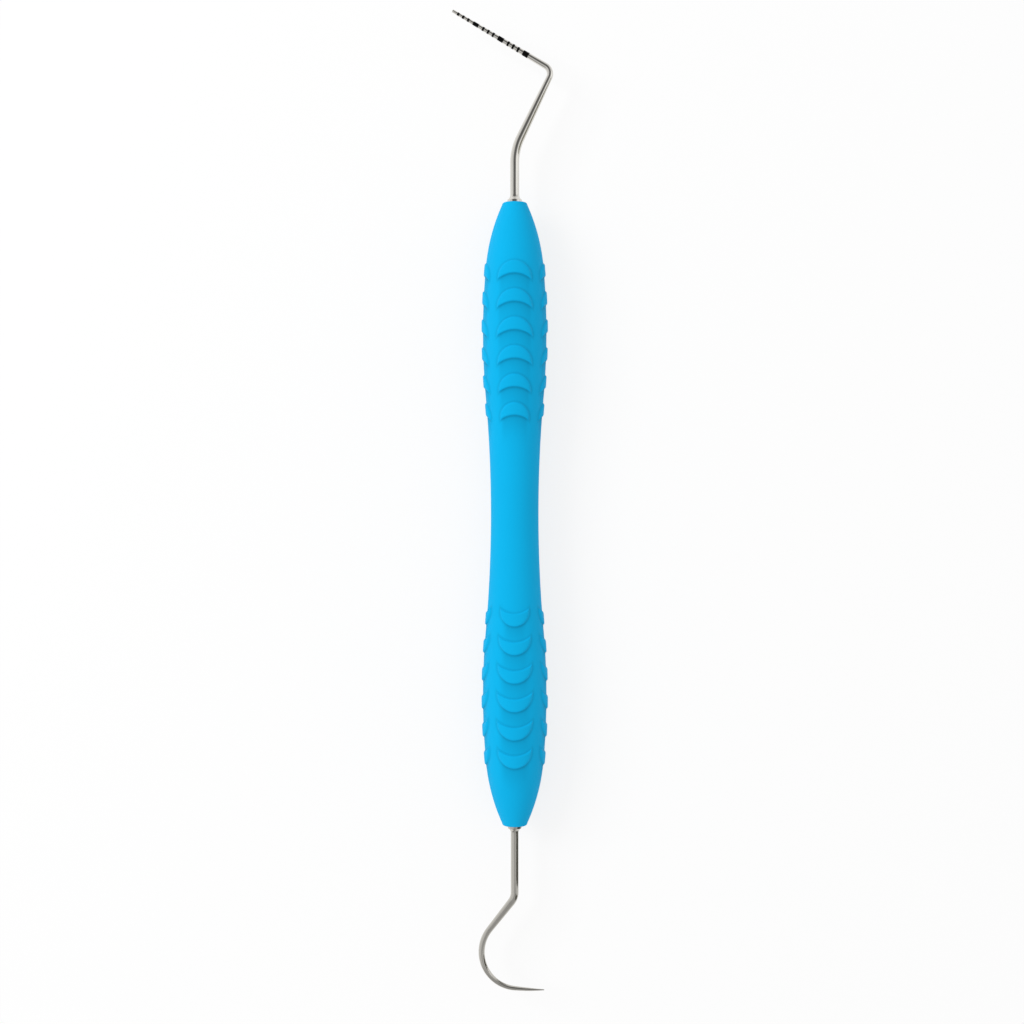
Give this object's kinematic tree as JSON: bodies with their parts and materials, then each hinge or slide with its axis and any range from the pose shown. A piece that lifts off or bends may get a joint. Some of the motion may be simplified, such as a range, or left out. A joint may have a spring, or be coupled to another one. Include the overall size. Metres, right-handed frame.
{
  "type": "double-ended dental explorer and depth probe",
  "caption": "Double-ended dental hand instrument: shepherd's-hook explorer at one end, banded depth probe at the other, silicone grip with raised crescent pads.",
  "frame": {"origin": "on the long axis of the grip, halfway between its two mouths", "axes": "+Y along the grip to the depth-probe end, explorer towards -Y; both working ends bend in the XY plane, the probe's blunt end and the hook's belly towards -X; +Z squarely out of that plane, up when the instrument lies on its side"},
  "size_m": [0.0175, 0.1692, 0.0114],
  "materials": {
    "silicone": "satin moulded silicone",
    "tip_steel": "polished stainless steel",
    "core_steel": "turned stainless steel",
    "band_black": "matt black infill"
  },
  "bodies": {
    "root": {"grip_sleeve": "silicone", "core_tube": "core_steel", "probe_socket": "core_steel", "explorer_socket": "core_steel", "probe_tip": "tip_steel", "explorer_tip": "tip_steel", "band_01": "band_black", "band_02": "band_black", "band_03": "band_black", "band_04_05": "band_black", "band_06": "band_black", "band_07": "band_black", "band_08": "band_black", "band_09_10": "band_black", "band_11": "band_black", "band_12": "band_black", "band_13": "band_black", "band_14_15": "band_black"}
  },
  "joints": []
}
